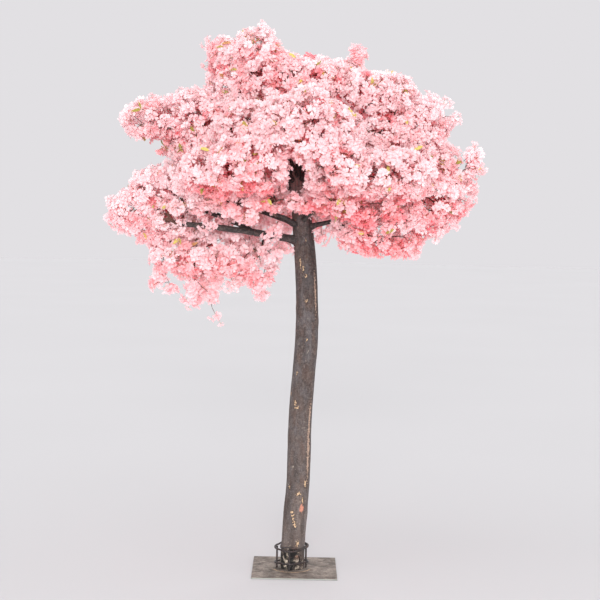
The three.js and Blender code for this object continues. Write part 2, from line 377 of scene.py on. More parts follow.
def silk(name, colour, through, share):
    """Thin woven silk, matt, with a share of the light let through from behind."""
    material, tree = new_material(name)
    weave = grain(tree, object_place(tree), 0.0006, detail=1)
    inputs = {
        "Base Color": tone(*colour),
        "Roughness": 0.72,
        "Specular IOR Level": 0.2,
        "Sheen Weight": 0.15,
        "Normal": bump(tree, weave, 0.0002, 0.4),
    }
    face = add_node(tree, "ShaderNodeBsdfPrincipled", inputs)
    back = add_node(tree, "ShaderNodeBsdfTranslucent", {"Color": tone(*through)})
    show(tree, add_node(tree, "ShaderNodeMixShader", {0: share, 1: face.outputs[0], 2: back.outputs[0]}))
    return material


def twig_bark(tree, place):
    """The dark wrapped wire and bark of the twigs."""
    rough = grain(tree, place, 0.006)
    brown = ramp(tree, rough, (0.3, (66, 46, 42)), (0.7, (112, 80, 68)))
    return {"Base Color": brown, "Roughness": 0.85, "Normal": bump(tree, rough, 0.0006)}


def plate_steel(tree, place):
    """Worn steel plate: mottled, scuffed, with dark spots, and two painted highlights: a pale arc at the
    foot standing for a lit edge, and a paler rim along the edge.
    """
    clouds = grain(tree, place, (0.07, 0.06, 0.07), detail=5, roughness=0.65, warp=0.5)
    scuffs = grain(tree, place, (0.05, 0.008, 0.05), detail=5, warp=0.3)
    spots = grain(tree, place, (0.012, 0.008, 0.012), detail=4, roughness=0.75)
    edge = level(tree, spots, 0.35, 0.65, -0.4, 0.4)
    base = ramp(tree, clouds, (0.38, (78, 69, 64)), (0.5, (112, 102, 94)), (0.62, (142, 131, 122)))
    worn = layered(
        tree,
        base,
        (scuffs, 0.5, 0.62, 0.45, (164, 154, 143)),
        (spots, 0.5, 0.62, 0.6, (66, 57, 53)),
        # painted highlight: a pale arc round the foot of the cage, standing for a lit edge
        (painted(tree, "worn", edge), 0.4, 0.75, 0.8, (186, 160, 132)),
        # painted highlight: the plate's edge made paler
        (painted(tree, "rim"), 0.3, 0.9, 0.8, (160, 164, 158)),
    )
    return {
        "Base Color": worn,
        "Roughness": level(tree, scuffs, 0.3, 0.7, 0.7, 0.9),
        "Normal": bump(tree, spots, 0.0006, 0.7),
        "Metallic": 0.15,
        "Specular IOR Level": 0.25,
    }


def rod_steel(tree, place):
    """Dark painted rod with rust and bare spots."""
    pits = grain(tree, place, 0.008, detail=4)
    patches = grain(tree, place, 0.03, detail=2)
    paint = ramp(tree, pits, (0.35, (40, 36, 37)), (0.6, (66, 60, 60)), (0.8, (118, 112, 112)))
    return {
        "Base Color": layered(tree, paint, (patches, 0.5, 0.7, 0.6, (78, 50, 40))),
        "Roughness": level(tree, pits, 0.3, 0.8, 0.4, 0.75),
        "Normal": bump(tree, pits, 0.0008),
        "Metallic": 0.4,
    }


# For each tint: the outer petals, the inner petals and what shines through both
TINTS = {
    "pale": [(254, 237, 239), (254, 229, 232), (254, 221, 224)],
    "light": [(254, 234, 236), (254, 221, 224), (254, 210, 213)],
    "pink": [(254, 228, 231), (254, 208, 212), (254, 194, 198)],
    "coral": [(254, 212, 215), (252, 176, 179), (252, 158, 162)],
    "rose": [(254, 190, 196), (248, 140, 148), (248, 124, 134)],
}
# How much pinker, or paler where it is under 0, some of the masses are: partly the silk's own colour and
# partly painted shade, pinker on the low right masses that lie in the crown's shade and paler on the upper
# and front ones
BLUSH_AND_SHADE = {
    "crown_top_left": -0.1, "crown_upper_left": -0.2, "crown_left": -0.25, "crown_front_top": -0.35,
    "crown_front_right": -0.25, "crown_upper_right": -0.25, "crown_right": 0.05, "crown_lower_left": 0.12,
    "crown_lower_right": 0.3, "crown_low_right": 0.25,
}
LEAF_TINTS = {"fresh": (202, 194, 108), "olive": (156, 148, 72), "bronze": (196, 150, 104)}
LEAF_SHARES = [0.6, 0.25, 0.15]
STALK_TINT = (190, 150, 104)
SHEER = {"petal": 0.5, "leaf": 0.25, "stalk": 0.1}


def flower_materials():
    """For each tint, a finish for the outer petals and one for the inner petals."""
    made = {}
    for tint, (outer, inner, through) in TINTS.items():
        parts = (("outer", outer), ("inner", inner))
        made[tint] = [silk(f"silk_{tint}_{part}", colour, through, SHEER["petal"]) for part, colour in parts]
    return made


def leaf_materials():
    """A finish for each tint of leaf."""
    return [silk(f"leaf_{name}", colour, colour, SHEER["leaf"]) for name, colour in LEAF_TINTS.items()]


# Camera, light and floor


def set_camera():
    """A long lens far in front of the tree, a shade above its middle, looking a little down."""
    data = bpy.data.cameras.new("camera")
    data.sensor_width = CAMERA["sensor"]
    data.lens = CAMERA["lens"]
    eye = bpy.data.objects.new("camera", data)
    level_off = math.radians(90 - CAMERA["pitch"])
    tilt = Matrix.Rotation(math.radians(CAMERA["roll"]), 4, "Z")
    eye.matrix_world = Matrix.Translation(CAMERA["place"]) @ Matrix.Rotation(level_off, 4, "X") @ tilt
    bpy.context.scene.collection.objects.link(eye)
    bpy.context.scene.camera = eye


def add_lamp(name, kind, power):
    """A lamp and its data."""
    data = bpy.data.lights.new(name, kind)
    data.energy = power
    lamp = bpy.data.objects.new(name, data)
    bpy.context.scene.collection.objects.link(lamp)
    return lamp, data


def set_light():
    """An even pale surround, soft suns, and a low wide panel that lights the crown from under it."""
    scene = bpy.context.scene
    scene.world = bpy.data.worlds.new("studio")
    scene.world.use_nodes = True
    surround = scene.world.node_tree.nodes["Background"]
    surround.inputs["Color"].default_value = tone(*BACKDROP)
    surround.inputs["Strength"].default_value = 1.0
    for name, sun in SUNS.items():
        lamp, data = add_lamp(name, "SUN", sun["power"])
        data.angle = math.radians(sun["spread"])
        lamp.rotation_euler = Vector(sun["towards"]).to_track_quat("-Z", "Y").to_euler()
    lamp, data = add_lamp("fill", "AREA", FILL["power"])
    data.size = FILL["size"]
    lamp.location = FILL["place"]
    lamp.rotation_euler = (math.pi, 0, 0)
    lamp.visible_camera = False
    scene.view_settings.view_transform = "Standard"
    scene.cycles.max_bounces = BOUNCES
    scene.cycles.diffuse_bounces = BOUNCES


def pale_floor(tree, place):
    """One pale grey, a shade uneven."""
    mottle = grain(tree, place, FLOOR["mottle"], detail=1)
    low = [FLOOR["darker"] * c for c in FLOOR["albedo"]] + [1.0]
    colour = mixed(tree, level(tree, mottle, 0.3, 0.7), low, [*FLOOR["albedo"], 1.0])
    return {"Base Color": colour, "Roughness": 0.95, "Specular IOR Level": 0.0}


def set_floor():
    """A plain pale disc that the plate stands on."""
    bpy.ops.mesh.primitive_circle_add(vertices=FLOOR["sides"], radius=FLOOR["radius"], fill_type="NGON")
    floor = bpy.context.object
    floor.name = "floor"
    floor.data.materials.append(solid("floor", pale_floor))


# Limbs: where the CAD's limbs run, and how thick they are


def mesh_arrays(node):
    """A CAD node's points and triangles."""
    mesh = frame["nodes"][node].data
    points = np.array([v.co for v in mesh.vertices])
    mesh.calc_loop_triangles()
    return points, np.array([t.vertices for t in mesh.loop_triangles])


def outline_at(points, triangles, along, reach):
    """The middle and the area of the outline in which a plane square to along cuts a mesh."""
    edges = np.concatenate([triangles[:, [0, 1]], triangles[:, [1, 2]], triangles[:, [2, 0]]])
    side = points @ along - reach
    first, second = side[edges[:, 0]], side[edges[:, 1]]
    cut = first * second < 0
    share = (first[cut] / (first[cut] - second[cut]))[:, None]
    crossing = points[edges[cut, 0]] * (1 - share) + points[edges[cut, 1]] * share
    across = unit(np.cross(along, (0.3, 0.5, 0.8)))
    over = np.cross(along, across)
    middle = crossing.mean(0)
    flat = np.stack([(crossing - middle) @ across, (crossing - middle) @ over], 1)
    flat = flat[np.argsort(np.arctan2(flat[:, 1], flat[:, 0]))]
    ahead = np.roll(flat, -1, axis=0)
    wedge = flat[:, 0] * ahead[:, 1] - flat[:, 1] * ahead[:, 0]
    area = wedge.sum() / 2
    centre = ((flat + ahead) * wedge[:, None]).sum(0) / (6 * area)
    return middle + centre[0] * across + centre[1] * over, area


def limb_run(node, count, margin):
    """The points and radii along a limb, from its thick end to its tip."""
    points, triangles = mesh_arrays(node)
    along = np.linalg.svd(points - points.mean(0), full_matrices=False)[2][0]
    reach = points @ along
    low, high = reach.min(), reach.max()
    stops = np.linspace(low + margin * (high - low), high - margin * (high - low), count)
    cuts = [outline_at(points, triangles, along, stop) for stop in stops]
    path = np.array([middle for middle, _ in cuts])
    areas = np.array([area for _, area in cuts])
    tilt = np.abs(unit(np.gradient(path, axis=0)) @ along)
    radii = np.sqrt(areas * tilt / math.pi)
    foot = path[0] - (stops[0] - low) * unit(path[1] - path[0])
    tip = path[-1] + (high - stops[-1]) * unit(path[-1] - path[-2])
    path = np.concatenate([[foot], path, [tip]])
    radii = np.concatenate([radii[:1], radii, radii[-1:]])
    if radii[:END_SECTIONS].mean() < radii[-END_SECTIONS:].mean():
        return path[::-1], radii[::-1]
    return path, radii


def rounded(path, values, step):
    """A smooth path through points, with the values that go with them, at even steps."""
    path = np.asarray(path, float)
    before = np.concatenate([[2 * path[0] - path[1]], path[:-1]])
    after = np.concatenate([path[1:], [2 * path[-1] - path[-2]]])
    slope = (after - before) / 2
    fine = np.linspace(0, len(path) - 1, CURVE_PARTS * len(path))
    low = np.minimum(fine.astype(int), len(path) - 2)
    t = (fine - low)[:, None]
    a, b, va, vb = path[low], path[low + 1], slope[low], slope[low + 1]
    curve = a * (2 * t**3 - 3 * t**2 + 1) + b * (3 * t**2 - 2 * t**3)
    curve = curve + va * (t**3 - 2 * t**2 + t) + vb * (t**3 - t**2)
    way = way_along(curve)
    even = np.linspace(0, way[-1], max(2, round(way[-1] / step) + 1))
    places = np.stack([np.interp(even, way, curve[:, k]) for k in range(3)], 1)
    return places, np.interp(np.interp(even, way, fine), np.arange(len(values)), values)


def rings(path):
    """Two directions across each point of a path, which turn with it as little as they can."""
    ahead = unit(np.gradient(path, axis=0))
    side = unit(np.cross(ahead[0], (0.31, 0.17, 0.93) if abs(ahead[0][2]) < STEEP else (0, 1, 0)))
    sides = []
    for direction in ahead:
        side = unit(side - direction * (side @ direction))
        sides.append(side)
    sides = np.array(sides)
    return sides, np.cross(ahead, sides)


def tube(path, radii, sides):
    """Points and triangles of a closed tube, ring by ring, and last the middles of its two ends."""
    across, over = rings(path)
    angles = np.linspace(0, TURN, sides, endpoint=False)
    wheel = np.cos(angles)[None, :, None] * across[:, None] + np.sin(angles)[None, :, None] * over[:, None]
    points = path[:, None] + np.asarray(radii)[:, None, None] * wheel
    count = len(path)
    ring, spoke = np.meshgrid(np.arange(count - 1), np.arange(sides), indexing="ij")
    here = (ring * sides + spoke).ravel()
    beside = (ring * sides + (spoke + 1) % sides).ravel()
    walls = triangles_of(np.stack([here, beside, beside + sides, here + sides], 1))
    foot, top = count * sides, count * sides + 1
    spokes = np.arange(sides)
    ahead = (spokes + 1) % sides
    last = (count - 1) * sides
    caps = [np.stack([ahead, spokes, np.full(sides, foot)], 1)]
    caps.append(np.stack([last + spokes, last + ahead, np.full(sides, top)], 1))
    points = np.concatenate([points.reshape(-1, 3), path[:1], path[-1:]])
    return points, np.concatenate([walls, *caps])


def even_tube(path, radius, sides):
    """A tube of one radius."""
    return tube(path, np.full(len(path), radius), sides)


def wrinkles(path, radii, sides, layers, seed):
    """How far each point of a tube stands out: layers of noise of a height, a width and a length."""
    angles = np.linspace(0, TURN, sides, endpoint=False)
    way = way_along(path)
    out = np.zeros((len(path), sides))
    for number, (height, width, length) in enumerate(layers):
        shift = LAYER_SHIFT * number + seed
        for i, (along, radius) in enumerate(zip(way, radii)):
            for j, angle in enumerate(angles):
                round_x = radius * math.cos(angle) / width
                round_y = radius * math.sin(angle) / width
                out[i, j] += height * noise.noise((round_x + shift, round_y - shift, along / length))
    return out


def carve(points, path, sides, out):
    """A tube's points pushed away from its middle line."""
    grid = points[: len(path) * sides].reshape(len(path), sides, 3)
    outward = unit(grid - path[:, None])
    points[: len(path) * sides] = (grid + outward * out[..., None]).reshape(-1, 3)
    return points


def hold(obj, name, values):
    """Keeps a number for each point of a mesh, for its material to read."""
    attribute = obj.data.attributes.new(name, "FLOAT", "POINT")
    attribute.data.foreach_set("value", np.asarray(values, np.float32).ravel())


# Trunk: marks on it are given by height, bearing from the front towards +x, length and width

CHIPS = {
    "cream": [
        (0.385, 30, 0.035, 0.012), (0.321, -17, 0.012, 0.016), (0.303, -11, 0.009, 0.018),
        (0.286, -9, 0.014, 0.012), (0.268, -3, 0.009, 0.020), (0.254, 1, 0.015, 0.010),
        (0.240, 4, 0.010, 0.016), (0.451, -45, 0.018, 0.010),
        (0.470, 40, 0.05, 0.010), (0.418, 7, 0.02, 0.022), (0.150, 22, 0.03, 0.014),
        (1.650, -31, 0.05, 0.008), (1.615, -14, 0.04, 0.007), (1.582, -3, 0.016, 0.014),
        (1.448, -6, 0.016, 0.010), (1.242, 3, 0.012, 0.010), (1.064, -36, 0.018, 0.010),
        (0.905, -34, 0.03, 0.012), (0.88, -22, 0.012, 0.02), (1.77, 10, 0.012, 0.010),
        (0.62, 118, 0.05, 0.012), (1.12, 164, 0.03, 0.014), (0.50, 215, 0.04, 0.012),
        (1.45, 240, 0.03, 0.010), (0.95, 285, 0.02, 0.012), (1.70, 140, 0.03, 0.009),
    ],
    "orange": [(0.340, 29, 0.044, 0.026), (0.075, 20, 0.035, 0.03), (1.02, 232, 0.04, 0.018)],
    "stripe": [(0.695, 52, 0.44, 0.021), (1.49, 51, 0.24, 0.015), (0.9, 196, 0.3, 0.018)],
}
KNOTS = [
    (0.30, 74), (0.66, -28), (0.78, 20), (1.02, -62), (1.30, 30), (1.33, 96), (1.66, 6),
    (0.55, 160), (0.98, 205), (1.40, 250), (1.62, 170), (1.86, -24), (1.90, 200),
]
KNOT = {"radius": 0.02, "height": 0.0035, "pit": 0.003, "long": 0.8, "inner": 0.4}
TRUNK_LAYERS = [(0.004, 0.09, 0.35), (0.0026, 0.024, 0.22), (0.0012, 0.010, 0.07), (0.0005, 0.004, 0.02)]
TRUNK_SEED = 3.0
BOUGH_LAYERS = [(0.12, 1.6, 5.0), (0.09, 0.5, 1.6), (0.05, 0.2, 0.5)]
BOUGH_SEED = 11
MARK_EDGE = 0.4
CHIP_DEPTH = 0.0016
STRIPE_DEPTH = 0.003
# Painted shade where the bark's relief sinks in: how deep it must sink for the shade to be full, and how
# sharply the shade sets in
HOLLOW_SHADE = {"depth": 0.006, "power": 1.5}
STAIN = {"top": 0.135, "sway": 0.02, "soft": 0.05, "round": 0.35, "front": 0.65, "turn": 0.5}
COLLAR = {"root": 0.25, "wider": 0.45, "reach": 1.2}


def turn_from(bearing, angle):
    """The turn from an angle in degrees to each bearing, the shorter way round."""
    return (bearing - math.radians(angle) + math.pi) % TURN - math.pi


def marks(height, bearing, girth, places):
    """How far inside the nearest of some oval marks each point of the trunk lies, from 1 to 0."""
    inside = np.zeros_like(height)
    for mid, angle, length, width in places:
        far = np.hypot((height - mid) / length * 2, turn_from(bearing, angle) * girth / width * 2)
        inside = np.maximum(inside, np.clip((1 + MARK_EDGE - far) / (2 * MARK_EDGE), 0, 1))
    return inside


def knots(height, bearing, girth):
    """A low ring of bark with a pit in it, at each knot."""
    out = np.zeros_like(height)
    for mid, angle in KNOTS:
        far = np.hypot((height - mid) * KNOT["long"], turn_from(bearing, angle) * girth) / KNOT["radius"]
        out += KNOT["height"] * np.exp(-(far**2)) - KNOT["pit"] * np.exp(-((far / KNOT["inner"]) ** 2))
    return out


def make_trunk(bark):
    """The trunk with its bark, knots and marks; gives its path and radii."""
    path, radii = limb_run("trunk", **TRUNK_RUN)
    if path[0][2] > path[-1][2]:
        path, radii = path[::-1], radii[::-1]
    low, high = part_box("trunk")
    path[0][2], path[-1][2] = low.z, high.z
    path, radii = rounded(path, radii, TRUNK_STEP)
    sides = round(TURN * radii.max() / TRUNK_STEP)
    points, triangles = tube(path, radii, sides)
    grid = points[: len(path) * sides].reshape(len(path), sides, 3)
    offset = grid - path[:, None]
    bearing = np.arctan2(offset[..., 0], -offset[..., 1])
    height, girth = grid[..., 2], radii[:, None]
    waves = wrinkles(path, radii, sides, TRUNK_LAYERS, TRUNK_SEED)
    lumps = knots(height, bearing, girth)
    held = {name: marks(height, bearing, girth, places) for name, places in CHIPS.items()}
    bare = CHIP_DEPTH * np.maximum(held["orange"], held["cream"]) + STRIPE_DEPTH * held["stripe"]
    points = carve(points, path, sides, waves + lumps - bare)
    made = piece("trunk_bark", (points, triangles), [bark], ["trunk"])
    # Painted shade: how far each point sinks into the bark's relief, for the material to darken
    held["hollow_shade"] = np.clip(0.5 - (waves + lumps) / HOLLOW_SHADE["depth"], 0, 1) ** HOLLOW_SHADE["power"]
    line = STAIN["top"] + STAIN["sway"] * np.cos(3 * bearing)
    foot = np.clip((line - height) / STAIN["soft"], 0, 1)
    front = np.clip(STAIN["round"] + STAIN["front"] * np.cos(bearing + STAIN["turn"]), 0, 1)
    held["stain"] = foot * front
    for name, amount in held.items():
        hold(made, name, np.append(amount, np.zeros(2)))
    return path, radii


def nearest_on(path, place):
    """Which point of a path lies nearest to a place."""
    return int(np.argmin(np.linalg.norm(path - place, axis=1)))


def make_bough(node, bark, parents):
    """A bough that grows out of the nearest limb with a collar, and ends in a tip that twigs go on from."""
    path, radii = limb_run(node, **BOUGH_RUN)
    gaps = []
    for line, thick in parents.values():
        near = nearest_on(line, path[0])
        gaps.append((np.linalg.norm(line[near] - path[0]) - thick[near], line[near], thick[near]))
    _, root, girth = min(gaps, key=lambda gap: gap[0])
    path = np.concatenate([[root + COLLAR["root"] * (path[0] - root)], path])
    radii = np.concatenate([[radii[0]], radii])
    path, radii = rounded(path, radii, BOUGH_STEP)
    way = np.linalg.norm(path - root, axis=1)
    fade = np.maximum(way - girth, 0) / (COLLAR["reach"] * radii[0])
    girths = radii * (1 + COLLAR["wider"] * np.exp(-fade))
    points, triangles = tube(path, girths, BOUGH_SIDES)
    size = radii.mean()
    layers = [(height * size, width * size, length * size) for height, width, length in BOUGH_LAYERS]
    out = wrinkles(path, girths, BOUGH_SIDES, layers, BOUGH_SEED + len(parents))
    points = carve(points, path, BOUGH_SIDES, out)
    piece(f"{node}_bark", (points, triangles), [bark], [node])
    return path, radii


def make_limbs(materials):
    """The trunk and every bough; gives the path and radii of the trunk and of each bough."""
    trunk = make_trunk(materials["trunk"])
    limbs = {"trunk": trunk}
    boughs = [n for n in NODES if n.startswith("bough_")]
    size = {n: np.linalg.norm(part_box(n)[1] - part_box(n)[0]) for n in boughs}
    for node in sorted(boughs, key=lambda n: -size[n]):
        limbs[node] = make_bough(node, materials["bough"], limbs)
    return trunk, {node: limbs[node] for node in boughs}


# Crown: the space that the masses fill, cell by cell


def shape_of(node):
    """A CAD node's mesh, ready to be measured against."""
    points, triangles = mesh_arrays(node)
    return BVHTree.FromPolygons(points.tolist(), triangles.tolist())


def crossings(shape, x, y, top, bottom):
    """The heights at which an upright line passes through a mesh, from the top down."""
    heights = []
    z = top
    while z > bottom:
        hit = shape.ray_cast(Vector((x, y, z)), Vector((0, 0, -1)), z - bottom)[0]
        if hit is None:
            break
        heights.append(hit.z)
        z = hit.z - CLEAR_OF_HIT
    return heights


class Crown:
    """The crown as a block of cells: which mass fills each, how deep it lies, and which way is out."""

    def __init__(self, masses, trunk, limbs):
        boxes = [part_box(name) for name in masses]
        margin = (max(heart["closed"] for heart in HEARTS) + 2) * CELL
        low = np.min([low for low, _ in boxes], axis=0)
        high = np.max([high for _, high in boxes], axis=0)
        self.box = low, high
        self.low = low - margin
        self.size = np.ceil((high + margin - self.low) / CELL).astype(int)
        self.middles = self.low + CELL * (np.moveaxis(np.indices(self.size), 0, -1) + 0.5)
        self.owner = np.full(self.size, -1, int)
        for number, name in enumerate(masses):
            self.fill(number, name)
        self.close()
        for room in (TRUNK_TOP, TRUNK_NECK):
            self.clear(trunk[-1], **room)
        path = limbs[BARE["bough"]][0]
        for point in path[round(BARE["from"] * len(path)) : round(BARE["to"] * len(path))]:
            self.clear(point, **BARE_FRONT)
        self.depth = self.depths()
        self.blur = self.blurred()
        self.crowd = self.crowding()

    def fill(self, number, name):
        """Gives a mass the cells that its solid covers, column by column."""
        shape = shape_of(name)
        low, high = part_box(name)
        first = np.floor((np.array(low) - self.low) / CELL).astype(int)
        last = np.ceil((np.array(high) - self.low) / CELL).astype(int)
        for i in range(first[0], last[0] + 1):
            for j in range(first[1], last[1] + 1):
                x, y, _ = self.low + CELL * (np.array([i, j, 0]) + 0.5)
                heights = crossings(shape, x, y, high.z + CELL, low.z - CELL)
                for top, bottom in zip(heights[::2], heights[1::2]):
                    cells = np.floor((np.array([bottom, top]) - self.low[2]) / CELL + 0.5).astype(int)
                    self.owner[i, j, cells[0] : cells[1]] = number

    def close(self):
        """Fills the gaps between masses that blossom meets across: narrow ones, and wider in the hearts."""
        low, high = self.box
        filled = self.closed(CLOSED)
        for heart in HEARTS:
            middle = low + heart["middle"] * (high - low)
            inside = (((self.middles - middle) / heart["reach"]) ** 2).sum(-1) < 1
            filled = np.where(inside, self.closed(heart["closed"]), filled)
        self.owner = filled

    def clear(self, point, beside, high, low=-math.inf):
        """Keeps blossom away from the front of wood that shows, between two heights from a point of it."""
        x, y, z = np.moveaxis(self.middles - point, -1, 0)
        self.owner[(np.abs(x) < beside) & (y < 0) & (z > low) & (z < high)] = -1

    def closed(self, reach):
        """Which mass fills each cell once gaps of up to twice reach cells are filled."""
        grown = self.owner.copy()
        for turn in range(reach):
            for axis in range(3):
                for way in (1, -1) if turn % 2 else (-1, 1):
                    grown = np.where(grown >= 0, grown, np.roll(grown, way, axis))
        inside = grown >= 0
        for _ in range(reach):
            for axis in range(3):
                inside = inside & np.roll(inside, 1, axis) & np.roll(inside, -1, axis)
        return np.where(inside | (self.owner >= 0), grown, -1)

    def depths(self):
        """How many cells deep each cell lies, worn away from outside by a cross and a cube in turn."""
        inside = self.owner >= 0
        depth = np.zeros(self.size, int)
        turn = 0
        while inside.any():
            depth += inside
            worn = inside.copy()
            for axis in range(3):
                source = worn.copy() if turn % 2 else inside
                worn &= np.roll(source, 1, axis) & np.roll(source, -1, axis)
            inside = worn
            turn += 1
        return depth

    def blurred(self):
        """Which way the crown thickens at each cell."""
        soft = (self.owner >= 0).astype(float)
        for _ in range(BLURS):
            for axis in range(3):
                soft = (np.roll(soft, 1, axis) + soft + np.roll(soft, -1, axis)) / 3
        return np.stack(np.gradient(soft), -1)

    def crowding(self):
        """How much of the space around each cell is filled, from 0 to 1."""
        reach = CROWDED["reach"]
        share = (self.owner >= 0).astype(float)
        for axis in (0, 1, 2, 0, 1, 2):
            share = sum(np.roll(share, shift, axis) for shift in range(-reach, reach + 1)) / (2 * reach + 1)
        return share

    def index(self, places):
        """The cell that each place lies in."""
        cells = np.floor((places - self.low) / CELL).astype(int)
        return tuple(np.clip(cells, 0, self.size - 1).T)

    def holds(self, places):
        """Whether each place lies within the crown."""
        return self.owner[self.index(places)] >= 0

    def cells(self):
        """Every filled cell's place, mass, depth in metres and way out."""
        filled = self.owner >= 0
        depths = CELL * (self.depth[filled] - 0.5)
        return self.middles[filled], self.owner[filled], depths, unit(-self.blur[filled])


def choose_sites(crown, rng):
    """Places for sprays: close together under the surface of the crown, and wider apart within it."""
    places, owners, depths, outs = crown.cells()
    open_air = crown.crowd[crown.index(places + CROWDED["ahead"] * outs)] < CROWDED["share"]
    shell = (depths >= SHELL[0]) & (depths <= SHELL[1]) & open_air
    gaps = np.where(shell, SPACING["shell"], np.where(depths <= UNDER, SPACING["under"], SPACING["core"]))
    near_air = shell & (depths < EAGER["near"])
    eager = rng.random(len(places)) + EAGER["shell"] * shell + near_air + (depths <= UNDER)
    order = np.argsort(-eager)
    order = order[depths[order] >= SHELL[0]]
    places = places + rng.uniform(-0.5, 0.5, places.shape) * CELL
    taken = np.zeros((len(order), 3))
    chosen = []
    for cell in order:
        near = taken[: len(chosen)] - places[cell]
        if len(chosen) == 0 or (near * near).sum(1).min() > gaps[cell] ** 2:
            taken[len(chosen)] = places[cell]
            chosen.append(cell)
    return [values[chosen] for values in (places, owners, depths, outs)]


# Growth: wood that reaches every site from the tips of the boughs


class Wood:
    """Points of growing wood, each with its heading, its way from the bough and the point it grew from."""

    def __init__(self):
        self.place, self.heading, self.way, self.parent, self.load, self.least = [], [], [], [], [], []

    def add(self, place, heading, way, parent=-1, least=0.0):
        """A new point of wood, as its number."""
        for values, value in zip(
            (self.place, self.heading, self.way, self.parent, self.load, self.least),
            (place, heading, way, parent, 0, least),
        ):
            values.append(value)
        return len(self.place) - 1

    def carry(self, point):
        """Adds one spray's weight to a point and to all that it grew from."""
        while point >= 0:
            self.load[point] += 1
            point = self.parent[point]

    def radius(self, point):
        """How thick the wood is at a point: by the weight it carries and by the bough it starts from."""
        thin = TWIG["radius"] * max(self.load[point], 1) ** TWIG["power"]
        return max(thin, self.least[point] * math.exp(-self.way[point] / TWIG["fade"]))


def effort(sites, place, heading, way):
    """How hard it is to reach each site from a point: far, sharply turned, or a long way from the bough."""
    gap = sites - place
    far = np.linalg.norm(gap, axis=1)
    turn = 1 - (gap @ heading) / np.maximum(far, 1e-6)
    return far * (1 + TURNING * turn) + LONG_WAY * way


def shoot_path(start, heading, end, aim):
    """A bent path that leaves a point along its heading and arrives pointing to its aim."""
    far = np.linalg.norm(end - start)
    steps = max(2, math.ceil(far / SHOOT["step"]))
    t = np.linspace(0, 1, steps + 1)[:, None]
    near, late = start + SHOOT["leave"] * far * heading, end - SHOOT["arrive"] * far * aim
    return (1 - t) ** 3 * start + 3 * t * (1 - t) ** 2 * near + 3 * t**2 * (1 - t) * late + t**3 * end


def grow(tips, sites, aims, rng):
    """Joins the sites to the wood one by one, easiest first, and gives the wood and each site's shoot."""
    wood = Wood()
    best = np.full(len(sites), np.inf)
    source = np.zeros(len(sites), int)
    waiting = np.ones(len(sites), bool)

    def offer(point):
        cost = effort(sites, wood.place[point], wood.heading[point], wood.way[point])
        easier = waiting & (cost < best)
        best[easier] = cost[easier]
        source[easier] = point

    for place, heading, radius in tips:
        offer(wood.add(place, heading, 0.0, least=radius))
    shoots = {}
    for _ in range(len(sites)):
        site = int(np.argmin(np.where(waiting, best, np.inf)))
        waiting[site] = False
        point = int(source[site])
        path = shoot_path(wood.place[point], wood.heading[point], sites[site], aims[site])
        path[1:-1] += rng.normal(0, SHOOT["shake"], path[1:-1].shape)
        chain = [point]
        for before, place in zip(path, path[1:]):
            far = np.linalg.norm(place - before)
            parent = chain[-1]
            way = wood.way[parent] + far
            chain.append(wood.add(place, unit(place - before), way, parent, wood.least[parent]))
            offer(chain[-1])
        wood.carry(chain[-1])
        shoots[site] = chain
    return wood, shoots


# Blossom


PETALS = {
    "outer": [(0.0, 0.0), (0.62, 0.9), (1.0, 0.52), (0.8, 0.0), (1.0, -0.52), (0.62, -0.9)],
    "inner": [(0.0, 0.0), (0.95, 0.8), (0.74, 0.0), (0.95, -0.8)],
}
WHORLS = {
    "outer": {"count": 5, "length": 0.0232, "width": 0.0198, "lift": (-10, 38), "curl": -10, "cup": 0.15},
    "inner": {"count": 4, "length": 0.015, "width": 0.0135, "lift": (14, 64), "curl": -10, "cup": 0.2},
}
PETAL = {"sizes": (0.85, 1.12), "curl": 12, "lean": 0.24, "cup": 1.6, "ruffle": 0.0024, "start": 0.0015}
PETAL_SHIFT = 0.16
FLOWER_KINDS = 24
FLOWER_SIZES = (0.86, 1.14)
STALK_RADIUS = 0.0014


def petal(kind, rng):
    """One petal along +x from the middle of its flower, cupped, curled and ruffled: points and triangles."""
    whorl = WHORLS[kind]
    along, across = np.array(PETALS[kind]).T
    length = whorl["length"] * rng.uniform(*PETAL["sizes"])
    width = whorl["width"] * rng.uniform(*PETAL["sizes"])
    lift = math.radians(rng.uniform(*whorl["lift"]))
    angle = lift + math.radians(whorl["curl"] + rng.normal(0, PETAL["curl"])) * along / 2
    lean = rng.normal(0, PETAL["lean"])
    rise = whorl["cup"] * np.abs(across) ** PETAL["cup"] * width + lean * across * width / 2
    rise = rise + rng.normal(0, PETAL["ruffle"], len(along)) * along
    x = PETAL["start"] + length * along * np.cos(angle) - rise * np.sin(angle)
    z = length * along * np.sin(angle) + rise * np.cos(angle)
    fan = [(0, i + 1, i) for i in range(1, len(along) - 1)]
    return np.stack([x, across * width / 2, z], 1), np.array(fan)


def flower(rng):
    """A ruffled double blossom that faces +z: its points, triangles and which finish each triangle has."""
    parts, finishes = [], []
    for own, (kind, whorl) in enumerate(WHORLS.items()):
        start = rng.uniform(0, TURN)
        for i in range(whorl["count"]):
            points, faces = petal(kind, rng)
            angle = start + TURN * i / whorl["count"] + rng.normal(0, PETAL_SHIFT)
            spin = np.array(Matrix.Rotation(angle, 3, "Z"))
            parts.append((points @ spin.T, faces))
            finishes.append(np.full(len(faces), own))
    angles = TURN * np.arange(3) / 3
    neck = np.stack([np.cos(angles), np.sin(angles), 0 * angles], 1) * STALK_RADIUS
    stalk = np.concatenate([neck, [(0, 0, -1)]])
    parts.append((stalk, np.array([(0, 3, 1), (1, 3, 2), (2, 3, 0)])))
    finishes.append(np.full(3, len(WHORLS)))
    points, faces = joined(parts)
    return points, faces, np.concatenate(finishes)


